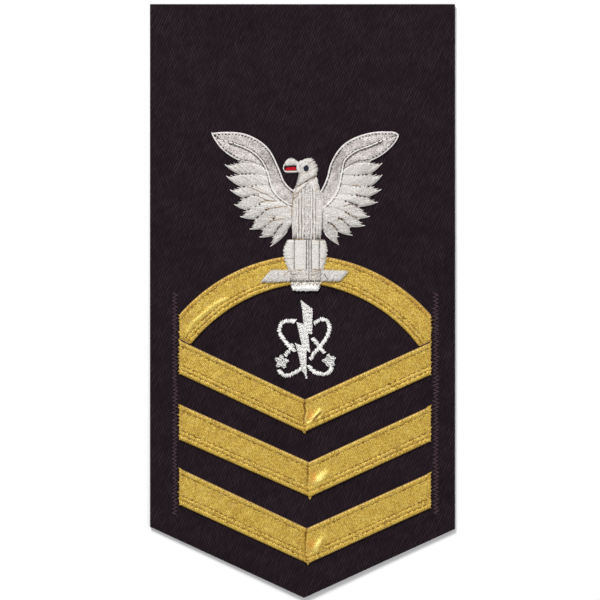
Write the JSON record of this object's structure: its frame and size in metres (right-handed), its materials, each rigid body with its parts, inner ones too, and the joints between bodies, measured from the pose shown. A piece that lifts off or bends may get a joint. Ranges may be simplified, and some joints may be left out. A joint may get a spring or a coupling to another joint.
{
  "type": "rank chevron patch",
  "caption": "Pointed dark cloth patch with gold lace chevrons under an arched stripe, a padded bullion eagle on its perch and a small embroidered mark, sewn on a sleeve to show rank.",
  "frame": {"origin": "under the middle of the cloth, on the face that is sewn to a sleeve", "axes": "+X across the patch to the viewer's right, +Y up the patch from the point to the straight edge above the eagle, +Z out of the embroidered face"},
  "size_m": [0.099, 0.1926, 0.003],
  "materials": {
    "ground_twill": "dark navy wool twill, matt",
    "gold_lace": "woven metallic gold lace, satin",
    "white_bullion": "silver-white bullion and cord, bright",
    "grey_bullion": "pebbled silver-grey purl, sparkling",
    "white_thread": "white embroidery thread, soft sheen",
    "dark_thread": "dark sewing thread, matt",
    "red_thread": "red silk thread, soft sheen",
    "navy_thread": "dark navy silk thread, soft sheen"
  },
  "bodies": {
    "root": {"ground_cloth": "ground_twill", "rocker_stripe": "gold_lace", "chevron_top": "gold_lace", "chevron_middle": "gold_lace", "chevron_bottom": "gold_lace", "beak_lower": "white_bullion", "beak_upper": "white_bullion", "body": "white_bullion", "centre_strips": "white_bullion", "eye": "navy_thread", "foot": "white_bullion", "head": "white_bullion", "left_feather_1": "white_bullion", "left_feather_2": "white_bullion", "left_feather_3": "white_bullion", "left_feather_4": "white_bullion", "left_feather_5": "white_bullion", "left_feather_6": "white_bullion", "left_feather_7": "white_bullion", "left_feather_8": "white_bullion", "left_wing_edge_cord": "white_bullion", "left_wing_lower_panel": "grey_bullion", "left_wing_midrib": "white_bullion", "left_wing_upper_panel": "grey_bullion", "leg_left": "white_bullion", "leg_right": "white_bullion", "mark_bolt": "white_thread", "mark_orbit_left_lower": "white_thread", "mark_orbit_left_upper": "white_thread", "mark_orbit_right_lower": "white_thread", "mark_orbit_right_upper": "white_thread", "mark_star_left": "white_thread", "mark_star_right": "white_thread", "perch_block": "white_bullion", "perch_left": "white_bullion", "perch_right": "white_bullion", "right_feather_1": "white_bullion", "right_feather_2": "white_bullion", "right_feather_3": "white_bullion", "right_feather_4": "white_bullion", "right_feather_5": "white_bullion", "right_feather_6": "white_bullion", "right_feather_7": "white_bullion", "right_feather_8": "white_bullion", "right_wing_edge_cord": "white_bullion", "right_wing_lower_panel": "grey_bullion", "right_wing_midrib": "white_bullion", "right_wing_upper_panel": "grey_bullion", "side_stitching_left": "dark_thread", "side_stitching_right": "dark_thread", "tongue": "red_thread"}
  },
  "joints": []
}
